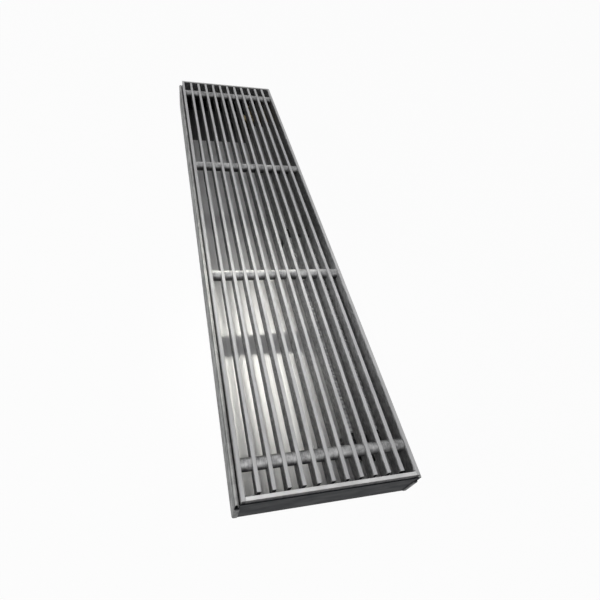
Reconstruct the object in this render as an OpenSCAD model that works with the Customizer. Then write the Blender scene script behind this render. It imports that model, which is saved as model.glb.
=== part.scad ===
// Trench convector heater: a shallow sheet-steel trough that is set in the floor, with a
// finned heating core along its right side and a bar grille that lifts out of its top.
// X runs across, Y along the length and Z up, with the origin mid-way along the underside.

/* [Casing] */
// Width over the two long walls
casing_w = 200; // [190:5:300]
// Length over the corner flanges
casing_l = 880; // [700:10:1500]
// Thickness of the galvanised sheet
sheet_t = 1; // [0.8:0.05:1.5]
// Inside radius of the folds
fold_r = 1; // [0.5:0.25:2]
// Width of the hem along the top of each long wall
hem_w = 5; // [3.4:0.1:5]
// Depth of the leg that the hem turns inwards
hem_d = 10; // [6:1:12]
// Width of the flanges that the long walls turn round each corner
flange_w = 5.5; // [4:0.5:10]
// Height between the top of those flanges and the hems' inner legs
flange_relief = 2; // [1:0.5:4]

/* [Floor plate] */
// Thickness of the bright plate that covers the floor
plate_t = 0.8; // [0.5:0.1:1.2]
// Gap between that plate and the walls and feet around it
plate_gap = 1.5; // [0.5:0.5:4]

/* [Anchor holes] */
// Diameter of the four holes that fix the casing to the subfloor
anchor_d = 7; // [5:0.5:8]
// Distance between two anchor holes across the casing
anchor_span = 100; // [60:5:110]
// Distance from the left wall to the first anchor hole
anchor_side = 19; // [12:1:30]
// Width of sheet left before and behind each anchor hole
anchor_edge = 3; // [2:0.5:8]

/* [Grille frame] */
// Thickness of the flat bars of the frame
frame_t = 4; // [3:0.5:6]
// Depth of the flat bars of the frame
frame_d = 20; // [18:0.5:21]
// Height that the grille stands above the lips
frame_rise = 8.5; // [3:0.5:9]
// Gap between the frame and the hem at each side
frame_side_gap = 1.1; // [0.5:0.1:2.5]
// Gap between the frame and the plate at each end
frame_end_gap = 0.3; // [0.3:0.1:2]
// Thickness of the soft strips that the frame sits on
seat_t = 1.5; // [0.5:0.25:3]
// Depth of the ledge that carries each strip
ledge_d = 12; // [8:1:14]
// Distance that each ledge stops short of the end plates
ledge_end_gap = 20; // [10:1:60]

/* [Grille bars] */
// Number of long bars
bar_count = 11; // [5:1:13]
// Gap between the outer bars and the frame beside them
bar_side_gap = 11.9; // [6:0.1:16]
// Thickness of a long bar
bar_t = 4; // [3:0.5:6]
// Depth of a long bar
bar_d = 18; // [15:1:20]
// Gap between the bars and the frame at each end
bar_end_gap = 2.5; // [1:0.5:8]
// Chamfer along the edges of the bars and the frame
edge_c = 0.3; // [0.1:0.1:0.6]

/* [Grille cross rods] */
// Number of rods that tie the bars together
rod_count = 4; // [2:1:6]
// Distance from the frame's ends to the first and last rod
rod_inset = 37.5; // [20:0.5:80]
// Diameter of a rod
rod_d = 8; // [7:0.5:9]
// Diameter of the tubular spacers on the rods
spacer_d = 14; // [11:0.5:14]
// Diameter of the countersunk screws in the rods' ends
end_screw_d = 5; // [4:0.5:5]
// Length of those screws
end_screw_l = 14; // [10:1:20]

/* [Heating core] */
// Gap between the right wall and the fins
core_side = 11; // [11:1:25]
// Gap between the floor plate and the fins
fin_under = 3.2; // [2.5:0.1:10]
// Gap between the fins and the grille's bars
fin_over = 4; // [2:0.5:20]
// Width of a fin
fin_w = 52; // [50:1:70]
// Height of a fin
fin_h = 24; // [22:0.5:40]
// Diameter of a pipe
pipe_d = 15; // [12:0.5:15]
// Wall of a pipe
pipe_t = 1; // [0.7:0.1:1.5]
// Thickness of a fin
fin_t = 0.4; // [0.3:0.1:0.6]
// Distance between neighbouring fins
fin_pitch = 6; // [4:0.5:10]
// Distance from the near end of the casing to the near bracket
core_near = 60; // [50:5:120]
// Distance from the far end of the casing to the far bracket
core_far = 120; // [115:5:200]

/* [Core brackets] */
// Thickness of the brackets that hold the pipes
bracket_t = 1.5; // [1:0.25:2]
// Width of a bracket past the fins on each side
bracket_lip = 1; // [0.5:0.5:1.5]
// Length of a bracket's foot
bracket_foot = 12; // [10:1:16]
// Diameter of the screws through the feet
foot_screw_d = 4; // [3:0.5:4.5]
// Distance between the two screws of one foot
foot_screw_span = 40; // [30:1:44]

/* [Valves] */
// Diameter of the brass bodies
valve_d = 24; // [22:0.5:25]
// Gap between the two brass bodies, which sets the distance between the pipes
valve_apart = 4; // [3:0.5:6]
// Length of the brass bodies
valve_l = 60; // [50:1:65]
// Diameter of the threaded mouths, at the crests of a G 1/2 thread
thread_d = 18.6; // [15:0.1:18.6]
// Depth of the threaded mouths
thread_l = 14; // [10:1:16]
// Size across the flats of the union nuts
nut_w = 22; // [20:1:24]
// Length of the union nuts
nut_l = 14; // [12:1:18]
// Diameter of the knob
knob_d = 24; // [20:1:25]
// Length of the knob
knob_l = 18; // [12:1:24]
// Number of finger grooves round the knob
knob_grooves = 12; // [8:1:20]

/* [Pipe entries] */
// Diameter of the two holes in the far end plate
entry_d = 22; // [21:0.5:23]
// Bore of the rubber grommets in those holes
grommet_bore = 19.2; // [12:0.1:19.2]
// Width of the grommets' lips outside the hole
grommet_rim = 1.9; // [1:0.1:2.4]
// Thickness of the grommets' lips
grommet_lip = 1.2; // [0.8:0.1:1.2]

/* [Hidden] */
$fn = 48;
// Overrun of every cut past the face that it opens
cut = 1;
// Overlap of two shapes that are joined into one solid
seam = 0.01;
// Clearances: loose for parts that are slid together, close for parts that turn
loose = 0.25;
close = 0.05;
// Clearance under a screw's tip
tip_gap = 0.2;

// Heights, worked out upwards from the underside
floor_top = sheet_t + plate_t;
core_z = floor_top + fin_under + fin_h / 2;
bar_low = floor_top + fin_under + fin_h + fin_over;
grille_top = bar_low + bar_d;
casing_h = grille_top - frame_rise;
frame_low = grille_top - frame_d;
ledge_top = frame_low - seat_t;
rod_z = grille_top - bar_d / 2;

// Casing, worked out
bend_r = fold_r + sheet_t;
wall_in = casing_w / 2 - sheet_t;
hem_in = casing_w / 2 - hem_w;
hem_top = casing_h - hem_w / 2;
flange_top = casing_h - hem_d - flange_relief;
plate_y = casing_l / 2 - sheet_t;
plate_in_y = plate_y - sheet_t;
foot_l = bend_r + anchor_d + 2 * anchor_edge;
foot_in_y = plate_y - foot_l;
anchor_x = anchor_side - wall_in;
anchor_y = foot_in_y + anchor_edge + anchor_d / 2;

// Floor plate, worked out
plate_w = 2 * (wall_in - fold_r - plate_gap);
plate_l = 2 * (foot_in_y - plate_gap);

// Grille, worked out
frame_w = 2 * (hem_in - frame_side_gap);
frame_l = 2 * (plate_in_y - frame_end_gap);
frame_in = frame_w / 2 - frame_t;
ledge_l = 2 * (plate_in_y - ledge_end_gap);
bar_l = frame_l - 2 * (frame_t + bar_end_gap);
bar_row = 2 * (frame_in - bar_side_gap) - bar_t;
bar_pitch = bar_row / (bar_count - 1);
rod_pitch = (frame_l - 2 * rod_inset) / (rod_count - 1);
spacer_in = rod_d / 2 + loose;
end_screw_r = end_screw_d / 2;
end_head_share = 1.9;
end_head_r = end_screw_r * end_head_share;
end_head_h = end_head_r - end_screw_r;

// Heating core, worked out
core_x = wall_in - core_side - fin_w / 2;
bracket_w = fin_w + 2 * bracket_lip;
pipe_span = valve_d + valve_apart;
flow_x = core_x - pipe_span / 2;
return_x = core_x + pipe_span / 2;
pipe_r = pipe_d / 2;
near_y = core_near - casing_l / 2;
far_y = casing_l / 2 - core_far;
middle_y = (near_y + far_y) / 2;
fin_gap = 4;
collar_t = 0.4;
bend_stub = 5;
pipe_near = near_y - bend_stub;
pipe_tail = 26;
pipe_far = far_y + pipe_tail;
head_r_share = 0.9;
head_h_share = 0.5;
screw_head_r = foot_screw_d * head_r_share;
screw_head_h = foot_screw_d * head_h_share;

// Valves, worked out
stub_wall = 1.4;
stub_r = pipe_r + stub_wall;
stub_l = 11;
socket_l = 5;
valve_y = pipe_far - socket_l + stub_l;
valve_end = pipe_far - socket_l + valve_l;
nut_ring = 4;
nut_back = 9.8;
nut_y = pipe_far - nut_back;
waterway_r = pipe_r - pipe_t;
boss_r = 8;
boss_l = 11;
boss_x = flow_x - valve_d / 2 - boss_l;
boss_y = valve_y + valve_d / 2;
bonnet_r = 6;
bonnet_l = 5;
bonnet_x = boss_x - bonnet_l;
spindle_r = 2.5;
knob_wall = 2;
knob_gap = 1;
knob_x = bonnet_x - knob_gap;
knob_bore = knob_l / 2;
groove_r = 1.6;
shield_boss_r = 7;
shield_over = 2.5;
shield_top = bar_low - shield_over;
shield_r = 3;
shield_depth = 12;
shield_slot = 1;

// Air vent, worked out
vent_l = 12;
vent_wall = 2;
vent_gap = 1.75;
vent_y = far_y + bracket_t / 2 + vent_gap;
vent_mid = vent_y + vent_l / 2;
vent_r = pipe_r + vent_wall;
vent_boss_r = 4;
vent_screw_r = 2;
vent_head = 4;
vent_head_h = 2.5;
vent_over = 2.5;
vent_top = bar_low - vent_over - vent_head_h;

// Pipe entries, worked out
grommet_r = entry_d / 2 + grommet_rim;
grommet_y = plate_in_y - grommet_lip;
grommet_l = sheet_t + 2 * grommet_lip;

grille_bars = [for (k = [1 : bar_count]) str("grille_bar_", k)];
tie_rods = [for (k = [1 : rod_count]) str("tie_rod_", k)];
rod_spacers = [for (k = [1 : rod_count]) str("rod_spacers_", k)];

galvanised = [0.58, 0.59, 0.60];
stainless = [0.76, 0.76, 0.77];
bright = [0.80, 0.80, 0.81];
black_paint = [0.08, 0.08, 0.09];
brass = [0.72, 0.58, 0.32];
soft_black = [0.10, 0.10, 0.10];
knob_grey = [0.16, 0.16, 0.17];

// A rod along Y, its near end at the given place
module rod_y(x, y, z, length, r) {
    translate([x, y, z]) rotate([-90, 0, 0]) cylinder(h = length, r = r);
}

// A rod along X, its left end at the given place
module rod_x(x, y, z, length, r) {
    translate([x, y, z]) rotate([0, 90, 0]) cylinder(h = length, r = r);
}

// A flat shape drawn in X and Z, drawn out along Y about the middle
module along_y(length) {
    translate([0, length / 2, 0]) rotate([90, 0, 0]) linear_extrude(length) children();
}

// Quarter of a ring round the origin, in the quadrant below and to the left of it
module quarter_ring(outer, inner) {
    difference() {
        intersection() {
            circle(r = outer);
            translate([-outer, -outer]) square(outer);
        }
        circle(r = inner);
    }
}

// Section of one half of the trough, from the middle of the floor to the left hem
module half_section() {
    translate([bend_r - casing_w / 2, 0]) square([casing_w / 2 - bend_r, sheet_t]);
    translate([bend_r - casing_w / 2, bend_r]) quarter_ring(bend_r, fold_r);
    translate([-casing_w / 2, bend_r]) square([sheet_t, hem_top - bend_r]);
    translate([hem_w / 2 - casing_w / 2, hem_top]) difference() {
        circle(r = hem_w / 2);
        circle(r = hem_w / 2 - sheet_t);
        translate([-hem_w, -2 * hem_w]) square(2 * hem_w);
    }
    translate([-hem_in - sheet_t, casing_h - hem_d]) square([sheet_t, hem_top - casing_h + hem_d]);
}

// Plan of one corner, where the near end of the left wall turns inwards
module corner_plan() {
    translate([-casing_w / 2, bend_r - casing_l / 2]) square([sheet_t, seam]);
    translate([bend_r - casing_w / 2, bend_r - casing_l / 2]) quarter_ring(bend_r, fold_r);
    translate([bend_r - casing_w / 2, -casing_l / 2]) square([flange_w - bend_r, sheet_t]);
}

module both_sides() {
    children();
    mirror([1, 0, 0]) children();
}

module both_ends() {
    children();
    mirror([0, 1, 0]) children();
}

module anchor_holes() {
    for (x = [anchor_x, anchor_x + anchor_span], y = [-anchor_y, anchor_y])
        translate([x, y, -cut]) cylinder(h = 2 * sheet_t + 2 * cut, d = anchor_d);
}

// Places of the bracket feet: the plate's middle along Y and the way that the foot points
module at_feet() {
    for (place = [[near_y, -1], [middle_y, 1], [far_y, 1]])
        for (side = [-1, 1])
            translate([core_x + side * foot_screw_span / 2, place[0] + place[1] * bracket_foot / 2, 0])
                children();
}

module casing_trough() {
    color(galvanised) difference() {
        union() {
            // The folded floor, walls and hems
            both_sides() along_y(2 * (casing_l / 2 - bend_r)) half_section();
            // The corners, turned round the end plates below the hems
            both_sides() both_ends() translate([0, 0, bend_r])
                linear_extrude(flange_top - bend_r) corner_plan();
            // The floor runs on under the end plates
            both_ends() translate([bend_r - casing_w / 2, -plate_y, 0])
                cube([casing_w - 2 * bend_r, bend_r - sheet_t + seam, sheet_t]);
        }
        anchor_holes();
        at_feet() translate([0, 0, -cut])
            cylinder(h = sheet_t + 2 * cut, r = foot_screw_d / 2 + close);
    }
}

// Section of the near end plate in Y and Z, with its foot folded in along the floor
module end_section() {
    translate([-plate_y, sheet_t + bend_r]) square([sheet_t, casing_h - sheet_t - bend_r]);
    translate([bend_r - plate_y, sheet_t + bend_r]) quarter_ring(bend_r, fold_r);
    translate([bend_r - plate_y, sheet_t]) square([foot_l - bend_r, sheet_t]);
}

module end_plate_shape() {
    wide = 2 * (wall_in - loose);
    narrow = 2 * (hem_in - loose);
    foot_w = 2 * (wall_in - bend_r);
    notch_z = casing_h - hem_d - flange_relief / 2;
    difference() {
        translate([-wide / 2, 0, 0]) rotate([90, 0, 90]) linear_extrude(wide) end_section();
        both_sides() translate([narrow / 2, -casing_l / 2, notch_z])
            cube([casing_w, casing_l / 2, casing_h]);
        both_sides() translate([foot_w / 2, -casing_l / 2, 0])
            cube([casing_w, casing_l / 2, sheet_t + bend_r]);
        anchor_holes();
    }
}

module near_end_plate() {
    color(galvanised) end_plate_shape();
}

module far_end_plate() {
    color(galvanised) difference() {
        mirror([0, 1, 0]) end_plate_shape();
        for (x = [flow_x, return_x])
            rod_y(x, plate_in_y - cut, core_z, sheet_t + 2 * cut, entry_d / 2);
    }
}

module floor_plate() {
    color(bright) difference() {
        translate([-plate_w / 2, -plate_l / 2, sheet_t]) cube([plate_w, plate_l, plate_t]);
        at_feet() translate([0, 0, sheet_t - cut])
            cylinder(h = plate_t + 2 * cut, r = foot_screw_d / 2 + close);
    }
}

// The left ledge is an angle: a leg against the wall and a shelf in under the frame
module ledge_section() {
    translate([-wall_in, ledge_top - ledge_d]) square([sheet_t, ledge_d]);
    translate([-wall_in, ledge_top - sheet_t]) square([wall_in - frame_in, sheet_t]);
}

module left_ledge() {
    color(galvanised) along_y(ledge_l) ledge_section();
}

module right_ledge() {
    color(galvanised) mirror([1, 0, 0]) along_y(ledge_l) ledge_section();
}

module seat_strip() {
    color(soft_black) translate([-frame_w / 2, -ledge_l / 2, ledge_top])
        cube([frame_t, ledge_l, seat_t]);
}

module left_seat_strip() {
    seat_strip();
}

module right_seat_strip() {
    mirror([1, 0, 0]) seat_strip();
}

// A bracket: an upright with a hole for each pipe, and a foot that points along Y
module bracket(y, way) {
    upright_h = core_z + fin_h / 2 - floor_top;
    color(galvanised) difference() {
        union() {
            translate([core_x - bracket_w / 2, y - bracket_t / 2, floor_top])
                cube([bracket_w, bracket_t, upright_h]);
            translate([core_x - bracket_w / 2, way > 0 ? y : y - bracket_foot, floor_top])
                cube([bracket_w, bracket_foot, bracket_t]);
        }
        for (x = [flow_x, return_x])
            rod_y(x, y - bracket_t / 2 - cut, core_z, bracket_t + 2 * cut, pipe_r + loose);
        at_feet() translate([0, 0, floor_top - cut])
            cylinder(h = bracket_t + 2 * cut, r = foot_screw_d / 2 + close);
    }
}

module near_bracket() {
    bracket(near_y, -1);
}

module middle_bracket() {
    bracket(middle_y, 1);
}

module far_bracket() {
    bracket(far_y, 1);
}

module bracket_screws() {
    head_z = floor_top + bracket_t;
    color(stainless) at_feet() {
        translate([0, 0, tip_gap]) cylinder(h = head_z - tip_gap + seam, d = foot_screw_d);
        difference() {
            translate([0, 0, head_z]) cylinder(h = screw_head_h, r = screw_head_r);
            translate([0, 0, head_z + screw_head_h / 2])
                cylinder(h = screw_head_h, r = screw_head_r / 2, $fn = 6);
        }
    }
}

// A block of fins from one place along Y to another, strung on two collars
module fin_block(y0, y1) {
    fins = floor((y1 - y0 - fin_t) / fin_pitch) + 1;
    block_l = (fins - 1) * fin_pitch + fin_t;
    start = (y0 + y1 - block_l) / 2;
    color(bright) difference() {
        union() {
            for (k = [0 : fins - 1])
                translate([core_x - fin_w / 2, start + k * fin_pitch, core_z - fin_h / 2])
                    cube([fin_w, fin_t, fin_h]);
            for (x = [flow_x, return_x])
                rod_y(x, start, core_z, block_l, pipe_r + close + collar_t);
        }
        for (x = [flow_x, return_x])
            rod_y(x, start - cut, core_z, block_l + 2 * cut, pipe_r + close);
    }
}

module near_fin_block() {
    fin_block(near_y + bracket_t / 2 + fin_gap, middle_y - bracket_t / 2 - fin_gap);
}

module far_fin_block() {
    fin_block(middle_y + bracket_foot + fin_gap, far_y - bracket_t / 2 - fin_gap);
}

module core_pipe(x) {
    color(black_paint) difference() {
        rod_y(x, pipe_near, core_z, pipe_far - pipe_near, pipe_r);
        rod_y(x, pipe_near - cut, core_z, pipe_far - pipe_near + 2 * cut, waterway_r);
    }
}

module flow_pipe() {
    core_pipe(flow_x);
}

module return_pipe() {
    core_pipe(return_x);
}

module return_bend() {
    color(black_paint) translate([core_x, pipe_near, core_z]) rotate([0, 0, 180])
        rotate_extrude(angle = 180) translate([pipe_span / 2, 0]) difference() {
            circle(r = pipe_r);
            circle(r = waterway_r);
        }
}

// A union nut: six-sided, loose over the pipe and screwed over the stub of a body
module union_nut(x) {
    color(brass) difference() {
        translate([x, nut_y, core_z]) rotate([-90, 0, 0]) rotate([0, 0, 30])
            cylinder(h = nut_l, r = nut_w / sqrt(3), $fn = 6);
        rod_y(x, nut_y - cut, core_z, nut_ring + 2 * cut, pipe_r + loose);
        rod_y(x, nut_y + nut_ring, core_z, nut_l, stub_r + close);
    }
}

module flow_union_nut() {
    union_nut(flow_x);
}

module return_union_nut() {
    union_nut(return_x);
}

// A brass body: a stub that takes the pipe, a barrel, and a threaded mouth at the far end
module body_shape(x) {
    rod_y(x, pipe_far - socket_l, core_z, stub_l + seam, stub_r);
    rod_y(x, valve_y, core_z, valve_end - valve_y, valve_d / 2);
}

module body_cuts(x) {
    rod_y(x, pipe_far - socket_l - cut, core_z, socket_l + cut, pipe_r + close);
    rod_y(x, pipe_far - cut, core_z, valve_l, waterway_r);
    rod_y(x, valve_end - thread_l, core_z, thread_l + cut, thread_d / 2);
}

module valve_body() {
    color(brass) difference() {
        union() {
            body_shape(flow_x);
            rod_x(boss_x, boss_y, core_z, flow_x - boss_x, boss_r);
        }
        body_cuts(flow_x);
        rod_x(boss_x - cut, boss_y, core_z, flow_x - boss_x, spindle_r + close);
    }
}

module valve_bonnet() {
    color(brass) difference() {
        rod_x(bonnet_x, boss_y, core_z, bonnet_l, bonnet_r);
        rod_x(bonnet_x - cut, boss_y, core_z, bonnet_l + 2 * cut, spindle_r + close);
    }
}

module valve_spindle() {
    color(stainless)
        rod_x(knob_x - knob_bore, boss_y, core_z, boss_x + boss_l - knob_x + knob_bore, spindle_r);
}

// The knob turns with the spindle, which reaches the bottom of its bore
module valve_knob() {
    color(knob_grey) difference() {
        rod_x(knob_x - knob_l, boss_y, core_z, knob_l, knob_d / 2);
        rod_x(knob_x - knob_bore, boss_y, core_z, knob_bore + cut, spindle_r + close);
        difference() {
            rod_x(knob_x - knob_bore, boss_y, core_z, knob_bore + cut,
                knob_d / 2 - knob_wall - groove_r);
            rod_x(knob_x - knob_l, boss_y, core_z, knob_l + 2 * cut, spindle_r + knob_wall);
        }
        for (k = [0 : knob_grooves - 1])
            translate([0, boss_y, core_z]) rotate([k * 360 / knob_grooves, 0, 0])
                rod_x(knob_x - knob_l - cut, 0, knob_d / 2, knob_l - knob_wall + cut, groove_r);
    }
}

module lockshield_body() {
    color(brass) difference() {
        union() {
            body_shape(return_x);
            translate([return_x, boss_y, core_z])
                cylinder(h = shield_top - core_z, r = shield_boss_r);
        }
        body_cuts(return_x);
        translate([return_x, boss_y, core_z]) cylinder(h = valve_d, r = shield_r + close);
    }
}

module lockshield_spindle() {
    color(stainless) translate([return_x, boss_y, shield_top - shield_depth]) difference() {
        cylinder(h = shield_depth - loose, r = shield_r);
        translate([-shield_r - cut, -shield_slot / 2, shield_depth - loose - shield_slot])
            cube([2 * (shield_r + cut), shield_slot, shield_slot + cut]);
    }
}

// The air vent: a collar brazed round the return pipe, with a boss for the vent screw
module air_vent_body() {
    color(brass) difference() {
        union() {
            rod_y(return_x, vent_y, core_z, vent_l, vent_r);
            translate([return_x, vent_mid, core_z])
                cylinder(h = vent_top - core_z, r = vent_boss_r);
        }
        rod_y(return_x, vent_y - cut, core_z, vent_l + 2 * cut, pipe_r + close);
        translate([return_x, vent_mid, core_z])
            cylinder(h = vent_top - core_z + cut, r = vent_screw_r + close);
    }
}

module air_vent_screw() {
    screw_z = core_z + pipe_r + loose;
    color(stainless) translate([return_x, vent_mid, 0]) {
        translate([0, 0, screw_z]) cylinder(h = vent_top - screw_z + loose, r = vent_screw_r);
        translate([-vent_head / 2, -vent_head / 2, vent_top + loose - seam])
            cube([vent_head, vent_head, vent_head_h]);
    }
}

// A grommet: a rubber ring whose lips hold both faces of the far end plate
module grommet(x) {
    color(soft_black) difference() {
        union() {
            rod_y(x, grommet_y, core_z, grommet_l, entry_d / 2 - close);
            rod_y(x, grommet_y, core_z, grommet_lip, grommet_r);
            rod_y(x, plate_y, core_z, grommet_lip, grommet_r);
        }
        rod_y(x, grommet_y - cut, core_z, grommet_l + 2 * cut, grommet_bore / 2);
    }
}

module flow_grommet() {
    grommet(flow_x);
}

module return_grommet() {
    grommet(return_x);
}

// Section of a flat bar on edge, its top face at the grille's top and its edges chamfered
module bar_section(thick, deep) {
    side = thick / 2;
    low = grille_top - deep;
    polygon([
        [-side, low + edge_c], [edge_c - side, low], [side - edge_c, low], [side, low + edge_c],
        [side, grille_top - edge_c], [side - edge_c, grille_top],
        [edge_c - side, grille_top], [-side, grille_top - edge_c]]);
}

function rod_y_at(k) = rod_inset - frame_l / 2 + (k - 1) * rod_pitch;

module side_frame_bar() {
    color(stainless) difference() {
        translate([frame_t / 2 - frame_w / 2, 0, 0]) along_y(frame_l) bar_section(frame_t, frame_d);
        for (k = [1 : rod_count]) translate([-frame_w / 2, rod_y_at(k), rod_z]) {
            rod_x(-cut, 0, 0, frame_t + 2 * cut, end_screw_r + close);
            rotate([0, 90, 0])
                cylinder(h = end_head_h + loose, r1 = end_head_r + loose, r2 = end_screw_r);
            rod_x(-cut, 0, 0, cut + seam, end_head_r + loose);
        }
    }
}

module left_frame_bar() {
    side_frame_bar();
}

module right_frame_bar() {
    mirror([1, 0, 0]) side_frame_bar();
}

module end_frame_bar() {
    color(stainless) translate([0, frame_t / 2 - frame_l / 2, 0]) rotate([0, 0, 90])
        along_y(2 * frame_in) bar_section(frame_t, frame_d);
}

module near_frame_bar() {
    end_frame_bar();
}

module far_frame_bar() {
    mirror([0, 1, 0]) end_frame_bar();
}

module grille_bar(k) {
    color(stainless) translate([(k - 1) * bar_pitch - bar_row / 2, 0, 0]) difference() {
        along_y(bar_l) bar_section(bar_t, bar_d);
        for (r = [1 : rod_count])
            rod_x(-bar_t / 2 - cut, rod_y_at(r), rod_z, bar_t + 2 * cut, rod_d / 2 + loose);
    }
}

module tie_rod(k) {
    bore_l = end_screw_l - frame_t + cut;
    color(stainless) difference() {
        rod_x(-frame_in, rod_y_at(k), rod_z, 2 * frame_in, rod_d / 2);
        both_sides()
            rod_x(-frame_in - cut, rod_y_at(k), rod_z, bore_l + cut, end_screw_r + close);
    }
}

// The spacers of one rod: one in each gap between the bars and beside the frame
module spacers(k) {
    gap_l = bar_pitch - bar_t;
    side_l = frame_in - bar_row / 2 - bar_t / 2;
    color(bright) {
        for (g = [1 : bar_count - 1])
            spacer(g * bar_pitch - bar_row / 2 - bar_pitch + bar_t / 2, k, gap_l);
        both_sides() spacer(-frame_in, k, side_l);
    }
}

module spacer(x, k, length) {
    difference() {
        rod_x(x, rod_y_at(k), rod_z, length, spacer_d / 2);
        rod_x(x - cut, rod_y_at(k), rod_z, length + 2 * cut, spacer_in);
    }
}

module rod_end_screws() {
    color(stainless) for (k = [1 : rod_count]) both_sides()
        translate([-frame_w / 2, rod_y_at(k), rod_z]) {
            rod_x(end_head_h - seam, 0, 0, end_screw_l - end_head_h, end_screw_r);
            rotate([0, 90, 0]) cylinder(h = end_head_h, r1 = end_head_r, r2 = end_screw_r);
        }
}

casing_trough();
near_end_plate();
far_end_plate();
floor_plate();
left_ledge();
right_ledge();
left_seat_strip();
right_seat_strip();
near_bracket();
middle_bracket();
far_bracket();
bracket_screws();
near_fin_block();
far_fin_block();
flow_pipe();
return_pipe();
return_bend();
valve_body();
valve_bonnet();
valve_spindle();
valve_knob();
flow_union_nut();
lockshield_body();
lockshield_spindle();
return_union_nut();
air_vent_body();
air_vent_screw();
flow_grommet();
return_grommet();
left_frame_bar();
right_frame_bar();
near_frame_bar();
far_frame_bar();
for (k = [1 : bar_count]) grille_bar(k);
for (k = [1 : rod_count]) tie_rod(k);
for (k = [1 : rod_count]) spacers(k);
rod_end_screws();
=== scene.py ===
import bpy
import math
from mathutils import Matrix, Vector


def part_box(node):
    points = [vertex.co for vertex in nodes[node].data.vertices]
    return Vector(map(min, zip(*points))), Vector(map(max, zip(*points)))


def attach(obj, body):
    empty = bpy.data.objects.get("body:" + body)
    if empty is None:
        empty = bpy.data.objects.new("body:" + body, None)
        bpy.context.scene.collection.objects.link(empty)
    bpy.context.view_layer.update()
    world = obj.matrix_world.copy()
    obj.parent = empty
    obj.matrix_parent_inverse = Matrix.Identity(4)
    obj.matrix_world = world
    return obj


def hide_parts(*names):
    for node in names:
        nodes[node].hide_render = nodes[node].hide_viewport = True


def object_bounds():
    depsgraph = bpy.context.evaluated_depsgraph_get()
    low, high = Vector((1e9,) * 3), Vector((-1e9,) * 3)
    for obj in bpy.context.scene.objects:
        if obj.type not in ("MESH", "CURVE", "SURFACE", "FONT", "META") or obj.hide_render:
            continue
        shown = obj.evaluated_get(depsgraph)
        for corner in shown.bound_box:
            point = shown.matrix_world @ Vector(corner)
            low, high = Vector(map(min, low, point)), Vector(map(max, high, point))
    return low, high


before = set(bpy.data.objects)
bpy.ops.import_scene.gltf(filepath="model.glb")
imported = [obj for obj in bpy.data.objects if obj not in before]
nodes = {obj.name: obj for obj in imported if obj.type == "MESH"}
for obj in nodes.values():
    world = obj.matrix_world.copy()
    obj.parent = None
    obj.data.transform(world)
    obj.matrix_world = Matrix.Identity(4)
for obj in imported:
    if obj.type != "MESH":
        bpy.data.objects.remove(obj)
cadBox = [list(corner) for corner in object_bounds()]
barCount = sum(name.startswith("grille_bar_") for name in nodes)
rodCount = sum(name.startswith("tie_rod_") for name in nodes)
mm = 0.001
quarterTurn = math.pi / 2
print("frame loaded:", len(nodes), "nodes,", barCount, "bars,", rodCount, "rods")


# Camera, at the photograph's angle: metres in the part's own frame
cameraView = {
    "place": (-0.1449, -0.5391, 0.4375),
    "right": (0.96904, -0.18889, 0.15898),
    "up": (0.06399, 0.81410, 0.57719),
    "back": (-0.23845, -0.54915, 0.80098),
    "lens": 24.42,
    "sensor": 36,
    "shift": (0.0411, 0.0895),
    "clip": 0.01,
}


def makeCamera(view):
    eye = bpy.data.cameras.new("camera")
    eye.lens = view["lens"]
    eye.sensor_width = view["sensor"]
    eye.shift_x, eye.shift_y = view["shift"]
    eye.clip_start = view["clip"]
    made = bpy.data.objects.new("camera", eye)
    turn = Matrix((view["right"], view["up"], view["back"])).transposed()
    made.matrix_world = Matrix.LocRotScale(Vector(view["place"]), turn.to_quaternion(), None)
    bpy.context.scene.collection.objects.link(made)
    bpy.context.scene.camera = made


makeCamera(cameraView)
print("camera made")


# Socket arithmetic: a Reading is what a socket gives, and works in plain expressions
class Reading:
    def __init__(self, shading, socket):
        self.shading = shading
        self.socket = socket

    def __add__(self, other):
        return self.shading.maths("ADD", self, other)

    def __sub__(self, other):
        return self.shading.maths("SUBTRACT", self, other)

    def __rsub__(self, other):
        return self.shading.maths("SUBTRACT", other, self)

    def __mul__(self, other):
        return self.shading.maths("MULTIPLY", self, other)

    def __abs__(self):
        return self.shading.maths("ABSOLUTE", self)


def weighed(shares, readings):    # the named readings, each times its share, summed
    parts = [readings[name] * share for name, share in shares.items()]
    return sum(parts[1:], parts[0])


# A Shading is one tree of nodes, a material's or the world's
class Shading:
    def __init__(self, tree):
        self.tree = tree

    def node(self, kind, sockets, **settings):
        made = self.tree.nodes.new(kind)
        for name, value in settings.items():
            setattr(made, name, value)
        for name, value in sockets.items():
            self.feed(made.inputs[name], value)
        return made

    def feed(self, socket, value):
        if isinstance(value, Reading):
            self.tree.links.new(value.socket, socket)
        else:
            socket.default_value = value

    def read(self, made, output=0):
        return Reading(self, made.outputs[output])

    def maths(self, operation, *values):
        made = self.node("ShaderNodeMath", dict(enumerate(values)), operation=operation)
        return self.read(made)

    def place(self):
        return self.read(self.node("ShaderNodeTexCoord", {}), "Object")

    def axis(self, name):    # place along X, Y or Z, in millimetres
        made = self.node("ShaderNodeSeparateXYZ", {0: self.place()})
        return self.read(made, name) * (1 / mm)

    def fade(self, value, low, high, start=0, end=1):    # eased from start to end
        made = self.node("ShaderNodeMapRange", {
            "Value": value, "From Min": low, "From Max": high,
            "To Min": start, "To Max": end,
        }, interpolation_type="SMOOTHSTEP")
        return self.read(made)


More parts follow.
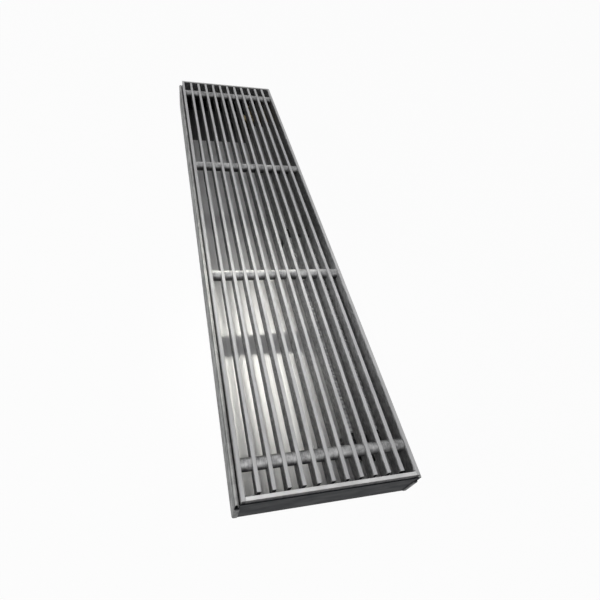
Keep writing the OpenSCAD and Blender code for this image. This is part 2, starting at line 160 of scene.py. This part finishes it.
# A Finish is one material: one shader, and the nodes that vary it over the surface
class Finish(Shading):
    def __init__(self, name, fixed):
        self.material = bpy.data.materials.new(name)
        self.material.use_nodes = True
        super().__init__(self.material.node_tree)
        self.tree.nodes.clear()
        self.shader = self.node("ShaderNodeBsdfPrincipled", fixed)
        self.node("ShaderNodeOutputMaterial", {"Surface": self.read(self.shader)})

    def set(self, name, value):
        self.feed(self.shader.inputs[name], value)

    def facing(self, name):    # how far the surface looks along X, Y or Z
        geometry = self.node("ShaderNodeNewGeometry", {})
        made = self.node("ShaderNodeSeparateXYZ", {0: self.read(geometry, "Normal")})
        return self.read(made, name)

    def stretched(self, sizes):    # coordinates counted in steps of these millimetres
        made = self.node("ShaderNodeMapping", {
            "Vector": self.place(), "Scale": [1 / (size * mm) for size in sizes]})
        return self.read(made)

    def noise(self, sizes, detail=3, rough=0.5, warp=0):
        made = self.node("ShaderNodeTexNoise", {
            "Vector": self.stretched(sizes), "Scale": 1, "Detail": detail,
            "Roughness": rough, "Distortion": warp})
        return self.read(made)

    def noises(self, wanted):
        return {name: self.noise(**settings) for name, settings in wanted.items()}

    def cells(self, size):    # one random grey for each crystal
        made = self.node("ShaderNodeTexVoronoi", {
            "Vector": self.stretched((size, size, size)), "Scale": 1})
        parts = self.node("ShaderNodeSeparateColor", {"Color": self.read(made, "Color")})
        return self.read(parts, "Red")

    def between(self, first, second, share):    # 6, 7 and 2 are the mix node's colour sockets
        made = self.node("ShaderNodeMix", {0: share, 6: first, 7: second}, data_type="RGBA")
        return self.read(made, 2)

    def bump(self, height, depth, strength):
        made = self.node("ShaderNodeBump", {
            "Height": height, "Distance": depth * mm, "Strength": strength})
        self.set("Normal", self.read(made))


noiseMiddle = 0.5    # noise varies about this


def cover(piece, finish):
    piece.data.materials.clear()
    piece.data.materials.append(finish.material)


def coat(finish, names):
    for name in names:
        cover(nodes[name], finish)


# Galvanised trough: mottled zinc, stained in patches, darker towards its foot, with a painted
# highlight along its lip.
# Here and below, sizes and heights are in millimetres, and the lip's painted highlight fades in
# below its height
zincSheet = {
    "noises": {
        "blotch": {"sizes": (16, 30, 16), "detail": 5, "rough": 0.62, "warp": 0.4},
        "grain": {"sizes": (1.6, 1.6, 1.6), "detail": 2},
        "patch": {"sizes": (22, 60, 9), "detail": 6, "rough": 0.7, "warp": 1.2},
    },
    "crystals": (5.5, 12.65),
    "crystalShare": 0.5,
    "dull": (0.052, 0.054, 0.055, 1),
    "pale": (0.150, 0.152, 0.150, 1),
    "toneShares": {"blotch": 0.72, "crystal": 0.2, "grain": 0.16},
    "toneFade": (0.34, 0.78),
    "darkTone": (0.050, 0.050, 0.048, 1),
    "patchFade": (0.56, 0.74),
    "patchStain": 0.55,
    "footFade": (0.4, 3.2),
    "footDarkening": 0.75,
    "lipHighlight": (0.470, 0.472, 0.463, 1),
    "lipHeight": 42.5,
    "lipFade": (-1.1, -0.2),
    "lipShare": 0.55,
    "lipVaries": 0.35,
    "metallic": 0.30,
    "roughness": (0.42, 0.62),
    "patchRoughness": 0.1,
    "bumpShares": {"crystal": 0.25, "grain": 0.35, "blotch": 0.6},
    "bump": {"depth": 0.12, "strength": 0.5},
}


def galvanised(name, values):
    made = Finish(name, {"Metallic": values["metallic"]})
    height = made.axis("Z")
    seen = made.noises(values["noises"])
    small, large = [made.cells(size) * values["crystalShare"] for size in values["crystals"]]
    seen["crystal"] = small + large
    tone = made.fade(weighed(values["toneShares"], seen), *values["toneFade"])
    base = made.between(values["dull"], values["pale"], tone)
    patch = made.fade(seen["patch"], *values["patchFade"])
    base = made.between(base, values["darkTone"], patch * values["patchStain"])
    # darker towards the foot, by height alone
    foot = made.fade(height, *values["footFade"], start=1, end=0)
    base = made.between(base, values["darkTone"], foot * values["footDarkening"])
    # painted highlight: the lip's top is lightened where it would catch the light
    lipHighlight = made.fade(height - values["lipHeight"], *values["lipFade"])
    lipHighlight = lipHighlight * (tone * values["lipVaries"] + values["lipShare"])
    made.set("Base Color", made.between(base, values["lipHighlight"], lipHighlight))
    low, high = values["roughness"]
    rough = made.fade(tone, 0, 1, high, low)
    made.set("Roughness", rough + patch * values["patchRoughness"])
    made.bump(weighed(values["bumpShares"], seen), **values["bump"])
    return made


coat(galvanised("galvanisedZinc", zincSheet), ["casing_trough", "left_ledge", "right_ledge"])
print("trough coated")


# Painted, moulded and plain sheet parts: two tones in soft clouds, rubbed in places
cloudedLook = {
    "noises": {
        "cloud": {"sizes": (34, 34, 12), "detail": 4, "rough": 0.6, "warp": 0.5},
        "grain": {"sizes": (0.7, 0.7, 0.7), "detail": 2},
        "wear": {"sizes": (5, 5, 1.1), "detail": 5, "rough": 0.7},
    },
    "toneShares": {"cloud": 1, "grain": 0.25},
    "toneFade": (0.4, 0.85),
    "wearFade": (0.62, 0.78),
    "wearShare": 0.35,
    "roughFade": (0.3, 0.7),
    "specular": 0.3,
    "bump": {"depth": 0.03, "strength": 0.4},
}


def clouded(name, values):
    made = Finish(name, {
        "Metallic": values["metallic"], "Specular IOR Level": values["specular"]})
    seen = made.noises(values["noises"])
    tone = made.fade(weighed(values["toneShares"], seen), *values["toneFade"])
    base = made.between(values["dark"], values["light"], tone)
    wear = made.fade(seen["wear"], *values["wearFade"])
    made.set("Base Color", made.between(base, values["rub"], wear * values["wearShare"]))
    made.set("Roughness", made.fade(seen["cloud"], *values["roughFade"], *values["roughness"]))
    made.bump(seen["grain"], **values["bump"])
    return made


# End plates, dark and a little blue: painted shade, since the near plate faces away from the light
endPlateShade = dict(
    cloudedLook,
    dark=(0.009, 0.010, 0.012, 1),
    light=(0.022, 0.024, 0.028, 1),
    rub=(0.070, 0.072, 0.075, 1),
    metallic=0.0,
    specular=0.06,
    roughness=(0.45, 0.62),
)
coat(clouded("endPlatePaintedShade", endPlateShade), ["near_end_plate", "far_end_plate"])
print("end plates coated")


# Bright floor sheet, rolled along its length. Past its bay's start, under the valves, it is dark: a
# painted shadow of the far end, and just before it lies a pale strip of painted light
floorSheet = {
    "noises": {
        "hair": {"sizes": (0.6, 160, 1), "detail": 4, "rough": 0.6},
        "band": {"sizes": (14, 420, 1), "detail": 3, "rough": 0.55},
        "cloud": {"sizes": (60, 120, 60), "detail": 3, "rough": 0.5, "warp": 0.3},
        "smudge": {"sizes": (30, 55, 30), "detail": 5, "rough": 0.65, "warp": 0.8},
    },
    "streak": (0.50, 0.50, 0.505, 1),
    "bright": (0.80, 0.80, 0.805, 1),
    "toneShares": {"hair": 0.45, "band": 0.4, "cloud": 0.25},
    "toneFade": (0.3, 0.8),
    "smudge": (0.36, 0.36, 0.37, 1),
    "smudgeFade": (0.6, 0.8),
    "smudgeShare": 0.45,
    # painted shadow colour for the bay
    "bayShadow": (0.062, 0.062, 0.065, 1),
    "bayStart": 296,
    "bayFade": (-0.2, 0.4),
    "bayWaver": 2,
    # painted light: the pale strip just before the bay's painted shadow
    "edge": (0.30, 0.30, 0.30, 1),
    "litStripFade": (-1.6, -1.0),
    "metallic": 0.05,
    "specular": 0.12,
    "roughness": (0.42, 0.55),
    "roughFade": (0.3, 0.9),
    "smudgeRoughness": 0.4,
    "bumpShares": {"hair": 1, "band": 0.5},
    "bump": {"depth": 0.02, "strength": 0.45},
}


def rolled(name, values):
    made = Finish(name, {"Specular IOR Level": values["specular"]})
    along = made.axis("Y") - values["bayStart"]
    seen = made.noises(values["noises"])
    tone = made.fade(weighed(values["toneShares"], seen), *values["toneFade"])
    base = made.between(values["streak"], values["bright"], tone)
    smudge = made.fade(seen["smudge"], *values["smudgeFade"])
    base = made.between(base, values["smudge"], smudge * values["smudgeShare"])
    # a pale strip of painted light just before the bay
    base = made.between(base, values["edge"], made.fade(along, *values["litStripFade"]))
    waver = (seen["cloud"] - noiseMiddle) * values["bayWaver"]
    # painted shadow of the far end over the bay, with a wavering edge
    bayShadow = made.fade(along + waver, *values["bayFade"])
    made.set("Base Color", made.between(base, values["bayShadow"], bayShadow))
    made.set("Metallic", (1 - bayShadow) * values["metallic"])
    rough = seen["hair"] + smudge * values["smudgeRoughness"]
    made.set("Roughness", made.fade(rough, *values["roughFade"], *values["roughness"]))
    made.bump(weighed(values["bumpShares"], seen), **values["bump"])
    return made


coat(rolled("rolledBrightSheet", floorSheet), ["floor_plate"])
print("floor sheet coated")


# Stainless grille: ground bright on top; on the sides a mill finish, made darker as painted shade;
# the bars' sawn ends darkened as painted shade.
# Its top is the part's top
grilleSteel = {
    "noises": {
        "cloud": {"sizes": (26, 40, 26), "detail": 3, "rough": 0.5},
        "mottle": {"sizes": (4, 7, 3), "detail": 5, "rough": 0.65, "warp": 0.6},
    },
    "hair": {"detail": 3, "rough": 0.6},
    "hairSizes": {"X": (220, 0.22, 0.5), "Y": (0.22, 220, 0.5)},
    "millAndSideShade": (0.170, 0.170, 0.173, 1),
    "millPale": (0.380, 0.380, 0.382, 1),
    "millFade": (0.35, 0.7),
    "endShade": (0.045, 0.045, 0.047, 1),
    "sawnFade": (0.8, 0.95),
    "ground": (0.37, 0.37, 0.375, 1),
    "groundPale": (0.48, 0.48, 0.485, 1),
    "groundShares": {"hair": 0.5, "cloud": 0.5},
    "groundFade": (0.35, 0.65),
    "topHeight": cadBox[1][2] / mm,
    "topFade": (-0.43, -0.28),
    "specular": 0.15,
    "metallic": 0.10,
    "topMetallic": 0.50,
    "roughness": (0.40, 0.60),
    "hairRoughness": 0.15,
    "bump": {"depth": 0.02, "strength": 0.4},
}


def groundSteel(name, values, along):
    made = Finish(name, {"Specular IOR Level": values["specular"]})
    seen = made.noises(values["noises"])
    seen["hair"] = made.noise(values["hairSizes"][along], **values["hair"])
    top = made.fade(made.axis("Z") - values["topHeight"], *values["topFade"])
    mottle = made.fade(seen["mottle"], *values["millFade"])
    # the sides: mill finish, made darker as painted shade
    millAndSideShade = made.between(values["millAndSideShade"], values["millPale"], mottle)
    if along == "Y":    # the ends are darker: painted shade
        endShade = made.fade(abs(made.facing("Y")), *values["sawnFade"])
        millAndSideShade = made.between(millAndSideShade, values["endShade"], endShade)
    tone = made.fade(weighed(values["groundShares"], seen), *values["groundFade"])
    ground = made.between(values["ground"], values["groundPale"], tone)
    made.set("Base Color", made.between(millAndSideShade, ground, top))
    made.set("Metallic", top * values["topMetallic"] + values["metallic"])
    low, high = values["roughness"]
    scratches = (seen["hair"] - noiseMiddle) * values["hairRoughness"]
    made.set("Roughness", made.fade(top, 0, 1, high, low) + scratches)
    made.bump(seen["hair"] * top + seen["mottle"] * (1 - top), **values["bump"])
    return made


barNames = ["grille_bar_%d" % k for k in range(1, barCount + 1)]
coat(groundSteel("groundBars", grilleSteel, "Y"),
     barNames + ["left_frame_bar", "right_frame_bar"])

# The frame's two end bars as lit and shaded copies: the far one darker, in painted shade on its top
# and sides; the near one brighter on top, as painted light, with its sides in painted shade
farBarShaded = dict(
    grilleSteel,
    millAndSideShade=(0.075, 0.075, 0.077, 1),
    millPale=(0.190, 0.190, 0.192, 1),
    ground=(0.32, 0.32, 0.32, 1),
    groundPale=(0.44, 0.44, 0.437, 1),
)
nearBarLit = dict(
    grilleSteel,
    millAndSideShade=(0.11, 0.11, 0.112, 1),
    millPale=(0.25, 0.25, 0.252, 1),
    ground=(0.50, 0.50, 0.496, 1),
    groundPale=(0.70, 0.70, 0.695, 1),
)
shadedEndBarFinish = groundSteel("groundEndBarsShaded", farBarShaded, "X")
coat(shadedEndBarFinish, ["far_frame_bar"])
coat(groundSteel("groundNearBarLit", nearBarLit, "X"), ["near_frame_bar"])
print("grille bars coated")


# Turned parts: fine rings round X, and soft blotches
turnedLook = {
    "noises": {
        "ring": {"sizes": (0.35, 60, 60), "detail": 2},
        "cloud": {"sizes": (9, 9, 9), "detail": 4, "rough": 0.6},
    },
    "toneShares": {"ring": 0.3, "cloud": 0.7},
    "toneFade": (0.36, 0.64),
    "roughFade": (0.3, 0.7),
    "bump": {"depth": 0.015, "strength": 0.4},
}


def turned(name, values):
    made = Finish(name, {"Metallic": values["metallic"]})
    seen = made.noises(values["noises"])
    tone = made.fade(weighed(values["toneShares"], seen), *values["toneFade"])
    base = made.between(values["low"], values["high"], tone)
    if "under" in values:    # the lower half is darker: painted shade
        waver = (seen["cloud"] - noiseMiddle) * values["underWaver"]
        upperSide = made.fade(made.facing("Z") + waver, *values["underFade"])
        base = made.between(values["under"], base, upperSide)
    made.set("Base Color", base)
    made.set("Roughness", made.fade(seen["cloud"], *values["roughFade"], *values["roughness"]))
    made.bump(seen["ring"], **values["bump"])
    return made


# Spacer tubes and the rods inside them
tubeSteel = dict(
    turnedLook,
    low=(0.17, 0.17, 0.173, 1),
    high=(0.56, 0.56, 0.56, 1),
    # painted shade on the tubes' lower half
    under=(0.040, 0.040, 0.042, 1),
    underFade=(-0.10, 0.95),
    underWaver=0.4,
    metallic=0.35,
    roughness=(0.37, 0.52),
)
rodNames = ["tie_rod_%d" % k for k in range(1, rodCount + 1)]
spacerNames = ["rod_spacers_%d" % k for k in range(1, rodCount + 1)]
coat(turned("turnedTubes", tubeSteel), rodNames + spacerNames)
print("rods and spacers coated")


# Core: black pipes, plain aluminium fins, zinc brackets
blackCore = dict(
    cloudedLook,
    dark=(0.012, 0.012, 0.013, 1),
    light=(0.035, 0.035, 0.037, 1),
    rub=(0.09, 0.09, 0.09, 1),
    metallic=0.1,
    roughness=(0.5, 0.7),
)
coat(clouded("mattBlackCore", blackCore), ["flow_pipe", "return_pipe", "return_bend"])

finSheet = dict(
    cloudedLook,
    dark=(0.62, 0.62, 0.63, 1),
    light=(0.78, 0.78, 0.79, 1),
    rub=(0.84, 0.84, 0.84, 1),
    metallic=0.3,
    roughness=(0.40, 0.55),
)
finFinish = clouded("finAluminium", finSheet)
coat(finFinish, ["near_fin_block", "far_fin_block"])

bracketSheet = dict(
    cloudedLook,
    dark=(0.12, 0.122, 0.125, 1),
    light=(0.24, 0.242, 0.245, 1),
    rub=(0.34, 0.34, 0.34, 1),
    metallic=0.3,
    roughness=(0.4, 0.6),
)
coat(clouded("bracketZinc", bracketSheet), ["near_bracket", "middle_bracket", "far_bracket"])
print("core coated")


# Fittings: brass, steel screws and spindles, a moulded knob, soft strips and grommets
brassMetal = dict(
    turnedLook,
    low=(0.21, 0.155, 0.07, 1),
    high=(0.38, 0.295, 0.15, 1),
    metallic=0.8,
    roughness=(0.31, 0.46),
)
coat(turned("turnedBrass", brassMetal), [
    "valve_body", "valve_bonnet", "flow_union_nut",
    "lockshield_body", "return_union_nut", "air_vent_body"])

screwSteel = dict(
    turnedLook,
    low=(0.30, 0.30, 0.31, 1),
    high=(0.52, 0.52, 0.53, 1),
    metallic=0.6,
    roughness=(0.33, 0.48),
)
screwFinish = turned("screwSteel", screwSteel)
coat(screwFinish, [
    "bracket_screws", "rod_end_screws", "valve_spindle",
    "lockshield_spindle", "air_vent_screw"])

knobPlastic = dict(
    cloudedLook,
    dark=(0.020, 0.020, 0.022, 1),
    light=(0.040, 0.040, 0.043, 1),
    rub=(0.07, 0.07, 0.07, 1),
    metallic=0.0,
    roughness=(0.42, 0.55),
)
coat(clouded("mouldedKnob", knobPlastic), ["valve_knob"])

softRubber = dict(
    cloudedLook,
    dark=(0.010, 0.010, 0.010, 1),
    light=(0.028, 0.028, 0.028, 1),
    rub=(0.05, 0.05, 0.05, 1),
    metallic=0.0,
    roughness=(0.7, 0.85),
)
rubberFinish = clouded("softRubber", softRubber)
coat(rubberFinish, ["left_seat_strip", "right_seat_strip", "flow_grommet", "return_grommet"])
print("fittings and small parts coated")


# Small helpers for modelling by hand
alongAxis = 0.9    # a face looks along an axis when that part of its normal is past this


def start():    # object mode, and nothing selected
    if bpy.context.mode != "OBJECT":
        bpy.ops.object.mode_set(mode="OBJECT")
    bpy.ops.object.select_all(action="DESELECT")


def applied():    # the piece just made, with its place, turn and size moved into its mesh
    bpy.ops.object.transform_apply(location=True, rotation=True, scale=True)
    return bpy.context.active_object


def unpick(kind):    # in edit mode, selects no edges or faces, then goes back to object mode
    bpy.ops.object.mode_set(mode="EDIT")
    bpy.ops.mesh.select_mode(type=kind)
    bpy.ops.mesh.select_all(action="DESELECT")
    bpy.ops.object.mode_set(mode="OBJECT")


def pick(piece, test):    # edit mode, with the faces whose normals pass a test
    unpick("FACE")
    for face in piece.data.polygons:
        face.select = test(face.normal)
    bpy.ops.object.mode_set(mode="EDIT")


def shift(piece, move):    # moves the mesh, not the object
    piece.data.transform(Matrix.Translation(move))


def twin(piece, move):    # a moved copy with its own mesh
    made = piece.copy()
    made.data = piece.data.copy()
    shift(made, move)
    bpy.context.scene.collection.objects.link(made)
    return made


def mirrored(piece):    # a copy on the other side of the part's middle
    made = twin(piece, (0, 0, 0))
    made.data.transform(Matrix.Diagonal((-1, 1, 1, 1)))
    made.data.flip_normals()
    return made


def together(pieces, name, finish, smoothUnder):    # one piece, with gentle edges smooth
    start()
    for piece in pieces:
        piece.select_set(True)
    bpy.context.view_layer.objects.active = pieces[0]
    bpy.ops.object.join()
    bpy.ops.object.shade_smooth_by_angle(angle=math.radians(smoothUnder))
    pieces[0].name = name
    cover(pieces[0], finish)
    return pieces[0]


# Fins: thin plates with a pressed panel and folded sides, on a sleeve round each pipe
finStack = {
    "pitch": 6.0,
    "thick": 0.4,
    "fold": 5.3,
    "lastFold": 0.3,
    "panelIn": 3.2,
    "panelDeep": 0.9,
    "sleeve": 8.7,
    "sleeveSides": 40,
    "rim": 0.7,
    "rimDeep": 0.6,
    "smoothUnder": 30,
}


def makeFin(values, low, high, fold):
    start()
    middle = ((low.x + high.x) / 2, low.y, (low.z + high.z) / 2)
    width = high.x - low.x - values["thick"] * mm
    bpy.ops.mesh.primitive_plane_add(size=1, location=middle, rotation=(quarterTurn, 0, 0))
    bpy.context.active_object.scale = (width, high.z - low.z, 1)
    fin = applied()
    unpick("EDGE")
    for edge in fin.data.edges:    # the two upright edges
        ends = [fin.data.vertices[k].co for k in edge.vertices]
        edge.select = abs(ends[0].x - ends[1].x) < values["thick"] * mm
    bpy.ops.object.mode_set(mode="EDIT")
    bpy.ops.mesh.extrude_edges_move(TRANSFORM_OT_translate={"value": (0, fold * mm, 0)})
    pick(fin, lambda normal: abs(normal.y) > alongAxis)
    bpy.ops.mesh.inset(thickness=values["panelIn"] * mm)
    bpy.ops.mesh.inset(thickness=values["panelDeep"] * mm)
    bpy.ops.transform.translate(value=(0, values["panelDeep"] * mm, 0))
    bpy.ops.object.mode_set(mode="OBJECT")
    skin = fin.modifiers.new("skin", "SOLIDIFY")
    skin.thickness = values["thick"] * mm
    skin.offset = 0
    bpy.ops.object.modifier_apply(modifier=skin.name)
    shift(fin, (0, low.y - min(v.co.y for v in fin.data.vertices), 0))
    return fin


def makeSleeve(values, x, low, high):
    start()
    length = high.y - low.y
    bpy.ops.mesh.primitive_cylinder_add(
        vertices=values["sleeveSides"], radius=values["sleeve"] * mm, depth=length,
        location=(x, (low.y + high.y) / 2, (low.z + high.z) / 2), rotation=(quarterTurn, 0, 0))
    sleeve = applied()
    pick(sleeve, lambda normal: abs(normal.y) > alongAxis)
    bpy.ops.mesh.inset(thickness=values["rim"] * mm)
    bpy.ops.transform.resize(value=(1, 1 - 2 * values["rimDeep"] * mm / length, 1))
    bpy.ops.object.mode_set(mode="OBJECT")
    return sleeve


def makeStack(values, node, name):
    low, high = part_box(node)
    pitch = values["pitch"] * mm
    count = round((high.y - low.y - values["thick"] * mm) / pitch) + 1
    first = makeFin(values, low, high, values["fold"])
    fins = [first] + [twin(first, (0, k * pitch, 0)) for k in range(1, count - 1)]
    last = makeFin(values, low, high, values["lastFold"])    # it has no room for folds
    shift(last, (0, (count - 1) * pitch, 0))
    fins.append(last)
    pipes = [sum(corner.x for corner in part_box(pipe)) / 2 for pipe in ("flow_pipe", "return_pipe")]
    sleeves = [makeSleeve(values, x, low, high) for x in pipes]
    stack = together(fins + sleeves, name, finFinish, values["smoothUnder"])
    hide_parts(node)
    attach(stack, "casing")
    return count


for stackNode, stackName in (("near_fin_block", "nearFins"), ("far_fin_block", "farFins")):
    print("fins in", stackName, makeStack(finStack, stackNode, stackName))


# Countersunk screws with a hexagon socket, given across its flats, one in each end of each rod
rodScrews = {
    "sides": 32,
    "headDeep": 2.4,
    "shank": 2.5,
    "length": 13.9,
    "socket": 3.0,
    "socketDeep": 1.8,
    "smoothUnder": 30,
}


def makeScrew(values, headRadius, x, y, z):    # from the middle of its head's face, along X
    start()
    headDeep = values["headDeep"] * mm
    bpy.ops.mesh.primitive_cone_add(
        vertices=values["sides"], radius1=headRadius, radius2=values["shank"] * mm,
        depth=headDeep, location=(x + headDeep / 2, y, z), rotation=(0, quarterTurn, 0))
    screw = applied()
    pick(screw, lambda normal: normal.x > alongAxis)
    shank = values["length"] * mm - headDeep
    bpy.ops.mesh.extrude_region_move(TRANSFORM_OT_translate={"value": (shank, 0, 0)})
    bpy.ops.object.mode_set(mode="OBJECT")
    bpy.ops.mesh.primitive_cylinder_add(
        vertices=6, radius=values["socket"] / math.sqrt(3) * mm,
        depth=2 * values["socketDeep"] * mm, location=(x, y, z), rotation=(0, quarterTurn, 0))
    socket = bpy.context.active_object
    cut = screw.modifiers.new("socket", "BOOLEAN")
    cut.object = socket
    cut.operation = "DIFFERENCE"
    bpy.context.view_layer.objects.active = screw
    bpy.ops.object.modifier_apply(modifier=cut.name)
    bpy.data.objects.remove(socket)
    return screw


def makeScrews(values, node):
    low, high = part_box(node)
    headRadius = (high.z - low.z) / 2
    rows = [sum(corner.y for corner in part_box("tie_rod_%d" % k)) / 2
            for k in range(1, rodCount + 1)]
    first = makeScrew(values, headRadius, low.x, rows[0], (high.z + low.z) / 2)
    left = [first] + [twin(first, (0, y - rows[0], 0)) for y in rows[1:]]
    right = [mirrored(screw) for screw in left]
    screws = together(left + right, "rodScrews", screwFinish, values["smoothUnder"])
    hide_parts(node)
    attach(screws, "grille")


makeScrews(rodScrews, "rod_end_screws")
print("rod screws made")


# Weld beads up the inner corners of the grille's frame
cornerWelds = {
    "radius": 1.7,
    "sides": 14,
    "step": 0.85,
    "waist": 0.84,
    "low": 1.2,
    "high": 0.9,
    "smoothUnder": 60,
}


def makeWeld(values, x, y, bottom, top):    # a stack of rings, every second one drawn in
    start()
    bpy.ops.mesh.primitive_circle_add(
        vertices=values["sides"], radius=values["radius"] * mm, fill_type="NGON",
        location=(x, y, bottom))
    bead = applied()
    bpy.ops.object.mode_set(mode="EDIT")
    bpy.ops.mesh.select_mode(type="FACE")
    bpy.ops.mesh.select_all(action="SELECT")
    step = values["step"] * mm
    for k in range(int((top - bottom) / step)):
        bpy.ops.mesh.extrude_region_move(TRANSFORM_OT_translate={"value": (0, 0, step)})
        size = values["waist"] if k % 2 == 0 else 1 / values["waist"]
        bpy.ops.transform.resize(value=(size, size, 1), center_override=(x, y, bottom))
    bpy.ops.mesh.select_all(action="SELECT")
    bpy.ops.mesh.normals_make_consistent(inside=False)
    bpy.ops.object.mode_set(mode="OBJECT")
    return bead


def makeWelds(values):
    sideLow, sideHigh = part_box("left_frame_bar")
    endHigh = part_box("near_frame_bar")[1]
    x, y = -sideHigh.x, -endHigh.y    # the frame's inner corner
    bottom, top = sideLow.z + values["low"] * mm, sideHigh.z - values["high"] * mm
    beads = [makeWeld(values, sx * x, sy * y, bottom, top) for sx in (-1, 1) for sy in (-1, 1)]
    # the welds take the far end bar's finish, with its painted shade
    welds = together(beads, "cornerWelds", shadedEndBarFinish, values["smoothUnder"])
    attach(welds, "grille")


makeWelds(cornerWelds)
print("frame welds made")


# Thin skins in the pipe grommets, cut through when the pipes are fitted
grommetSkins = {
    "radius": 9.75,
    "sides": 40,
    "thick": 0.5,
    "ring": 5.2,
    "step": 0.5,
    "nib": 1.1,
    "nibDeep": 0.7,
}


def makeSkin(values, node, name):
    low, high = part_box(node)
    start()
    bpy.ops.mesh.primitive_circle_add(
        vertices=values["sides"], radius=values["radius"] * mm, fill_type="NGON",
        location=(low + high) / 2, rotation=(quarterTurn, 0, 0))
    skin = applied()
    pick(skin, lambda normal: True)
    bpy.ops.mesh.inset(thickness=(values["radius"] - values["ring"]) * mm)
    bpy.ops.mesh.inset(thickness=values["step"] * mm)
    bpy.ops.transform.translate(value=(0, values["step"] * mm, 0))
    bpy.ops.mesh.inset(thickness=(values["ring"] - values["step"] - values["nib"]) * mm)
    bpy.ops.transform.translate(value=(0, -values["nibDeep"] * mm, 0))
    bpy.ops.object.mode_set(mode="OBJECT")
    wall = skin.modifiers.new("wall", "SOLIDIFY")
    wall.thickness = values["thick"] * mm
    bpy.ops.object.modifier_apply(modifier=wall.name)
    skin.name = name
    cover(skin, rubberFinish)
    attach(skin, "casing")


makeSkin(grommetSkins, "flow_grommet", "flowSkin")
makeSkin(grommetSkins, "return_grommet", "returnSkin")
print("grommet skins made")


# White to the camera, in mirrors and through glass
whiteRays = ("Is Camera Ray", "Is Glossy Ray", "Is Transmission Ray")


def seenWhite(shading):
    rays = shading.node("ShaderNodeLightPath", {})
    share = shading.read(rays, whiteRays[0])
    for name in whiteRays[1:]:
        share = shading.maths("MAXIMUM", share, shading.read(rays, name))
    return share


# Pale floor, just under the part. It isn't white where the part covers it, since the anchor
# holes look down on it there
studioFloor = {
    "half": 6000,
    "gap": 0.6,
    "colour": (0.42, 0.42, 0.42, 1),
    "whiteShare": 0.965,
    "coverIn": 2,
}


def makeFloor(values):
    start()
    bpy.ops.mesh.primitive_plane_add(
        size=2 * values["half"] * mm, location=(0, 0, -values["gap"] * mm))
    floor = bpy.context.active_object
    floor.name = "studioFloor"
    paint = bpy.data.materials.new("paleFloor")
    paint.use_nodes = True
    paint.node_tree.nodes.clear()
    shading = Shading(paint.node_tree)
    outside = []
    for axis, half in zip("XY", cadBox[1]):
        covered = half / mm - values["coverIn"]
        outside.append(shading.maths("GREATER_THAN", abs(shading.axis(axis)), covered))
    share = seenWhite(shading) * values["whiteShare"] * shading.maths("MAXIMUM", *outside)
    matt = shading.node("ShaderNodeBsdfDiffuse", {"Color": values["colour"]})
    white = shading.node("ShaderNodeEmission", {})
    mixed = shading.node("ShaderNodeMixShader", {
        0: share, 1: shading.read(matt), 2: shading.read(white)})
    shading.node("ShaderNodeOutputMaterial", {"Surface": shading.read(mixed)})
    floor.data.materials.append(paint)


makeFloor(studioFloor)


# Studio light, in metres: three beams from past the far end for the floor sheet's shine, one
# from the left, and three soft panels. A row's lamps stand side by side, so the bars' shadows
# run together, and its sweep is the step between the points that they aim at
studioLights = {
    "farBeam": {
        "kind": "SPOT", "from": (0.04, 1.950, 0.80), "to": (-0.030, 0.050, 0.002),
        "cone": 6.4, "soft": 0.05, "row": 3, "watts": 72, "gloss": False},
    "sheenBeam": {
        "kind": "SPOT", "from": (0.03, 1.650, 0.84), "to": (-0.040, -0.200, 0.002),
        "cone": 5.2, "soft": 0.05, "row": 3, "sweep": 0.045, "watts": 215,
        "tint": (1, 0.99, 0.91), "gloss": False},
    "nearBeam": {
        "kind": "SPOT", "from": (0.01, 1.585, 0.81), "to": (-0.050, -0.247, 0.002),
        "cone": 2.5, "soft": 0.05, "row": 4, "sweep": 0.044, "watts": 2500,
        "tint": (1, 0.99, 0.91), "gloss": False},
    "sideBeam": {
        "kind": "SPOT", "from": (-1.0, -0.28, 1.25), "to": (0.060, -0.200, 0.040),
        "cone": 13, "soft": 0.06, "watts": 45, "gloss": False},
    "highPanel": {
        "kind": "AREA", "from": (0.41, 0.75, 1.66), "to": (-0.03, -0.27, 0),
        "size": (0.7, 0.5), "watts": 1.6, "gloss": True},
    "nearPanel": {
        "kind": "AREA", "from": (-0.2, -0.75, 1.0), "to": (0, -0.4, 0),
        "size": (0.8, 0.6), "watts": 4.2, "gloss": True},
    "leftPanel": {
        "kind": "AREA", "from": (-2.5, -0.35, 0.60), "to": (0, -0.2, 0),
        "size": (1.6, 0.5), "watts": 50, "gloss": False},
}
rowStep = 0.1
plainTint = (1, 1, 1)


def makeLamp(name, values):
    lamp = bpy.data.lights.new(name, values["kind"])
    if values["kind"] == "AREA":
        lamp.shape = "RECTANGLE"
        lamp.size, lamp.size_y = values["size"]
    else:
        lamp.spot_size = math.radians(values["cone"])
        lamp.spot_blend = 1
        lamp.shadow_soft_size = values["soft"]
    lamp.color = values.get("tint", plainTint)
    return lamp


def makeLights(lights):
    for name, values in lights.items():
        lamp = makeLamp(name, values)
        count = values.get("row", 1)
        lamp.energy = values["watts"] / count
        for k in range(count):
            offset = k - (count - 1) / 2
            made = bpy.data.objects.new(name, lamp)
            made.location = Vector(values["from"]) + Vector((offset * rowStep, 0, 0))
            aim = Vector(values["to"]) + Vector((offset * values.get("sweep", 0), 0, 0))
            made.rotation_euler = (made.location - aim).to_track_quat("Z", "Y").to_euler()
            made.visible_glossy = values["gloss"]
            bpy.context.scene.collection.objects.link(made)


# World: dim in the light that it gives, white where it is seen
studioWorld = {
    "colour": (1, 1, 1, 1),
    "lit": 0.06,
    "seen": 1,
}


def makeWorld(values):
    world = bpy.data.worlds.new("studio")
    world.use_nodes = True
    bpy.context.scene.world = world
    shading = Shading(world.node_tree)
    background = world.node_tree.nodes["Background"]
    shading.feed(background.inputs["Color"], values["colour"])
    strength = shading.fade(seenWhite(shading), 0, 1, values["lit"], values["seen"])
    shading.feed(background.inputs["Strength"], strength)


makeLights(studioLights)
makeWorld(studioWorld)
bpy.context.scene.view_settings.view_transform = "Standard"
print("floor, lights and world made")
